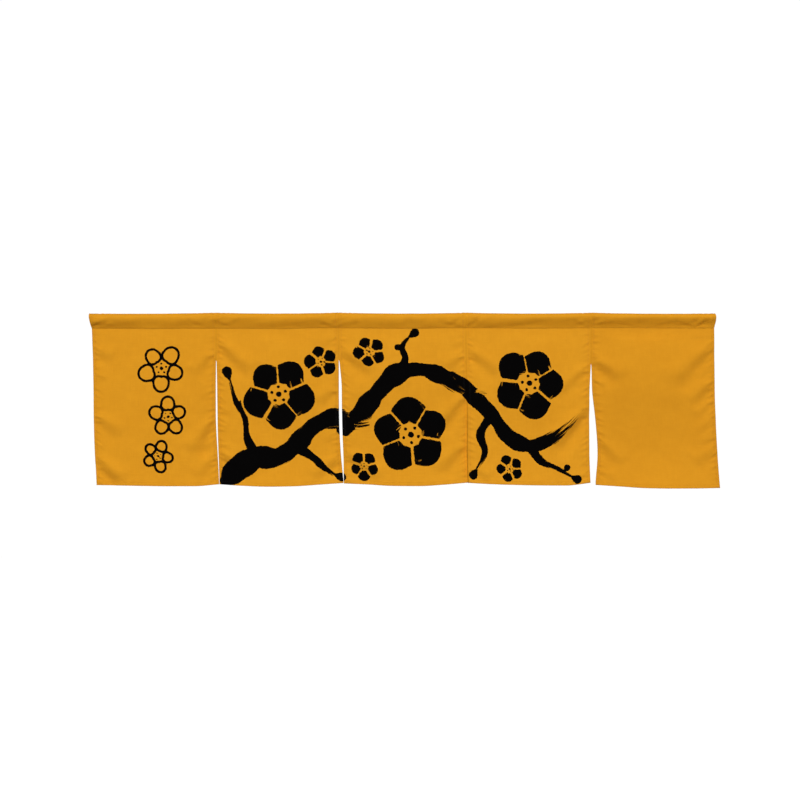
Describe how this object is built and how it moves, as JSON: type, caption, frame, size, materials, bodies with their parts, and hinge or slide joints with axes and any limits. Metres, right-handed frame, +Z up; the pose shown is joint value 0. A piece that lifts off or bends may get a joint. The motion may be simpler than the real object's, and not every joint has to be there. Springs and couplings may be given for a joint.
{
  "type": "noren curtain",
  "caption": "Short split door curtain of ochre cloth: hemmed panels, joined at the top and free below, hang from one open-ended rod pocket.",
  "frame": {"origin": "on the top edge of the rod pocket, at the middle of the curtain's width", "axes": "+X along the curtain to the right as seen from the front, -Y out of the front, +Z up"},
  "size_m": [1.7247, 0.0265, 0.4806],
  "materials": {
    "panel_cloth": "plain-weave cotton, matt, dyed ochre yellow",
    "pocket_cloth": "the same plain-weave cotton, turned over and stitched down as a rod pocket"
  },
  "bodies": {
    "root": {"rod_pocket": "pocket_cloth", "panel_1": "panel_cloth", "panel_2": "panel_cloth", "panel_3": "panel_cloth", "panel_4": "panel_cloth", "panel_5": "panel_cloth"}
  },
  "joints": []
}
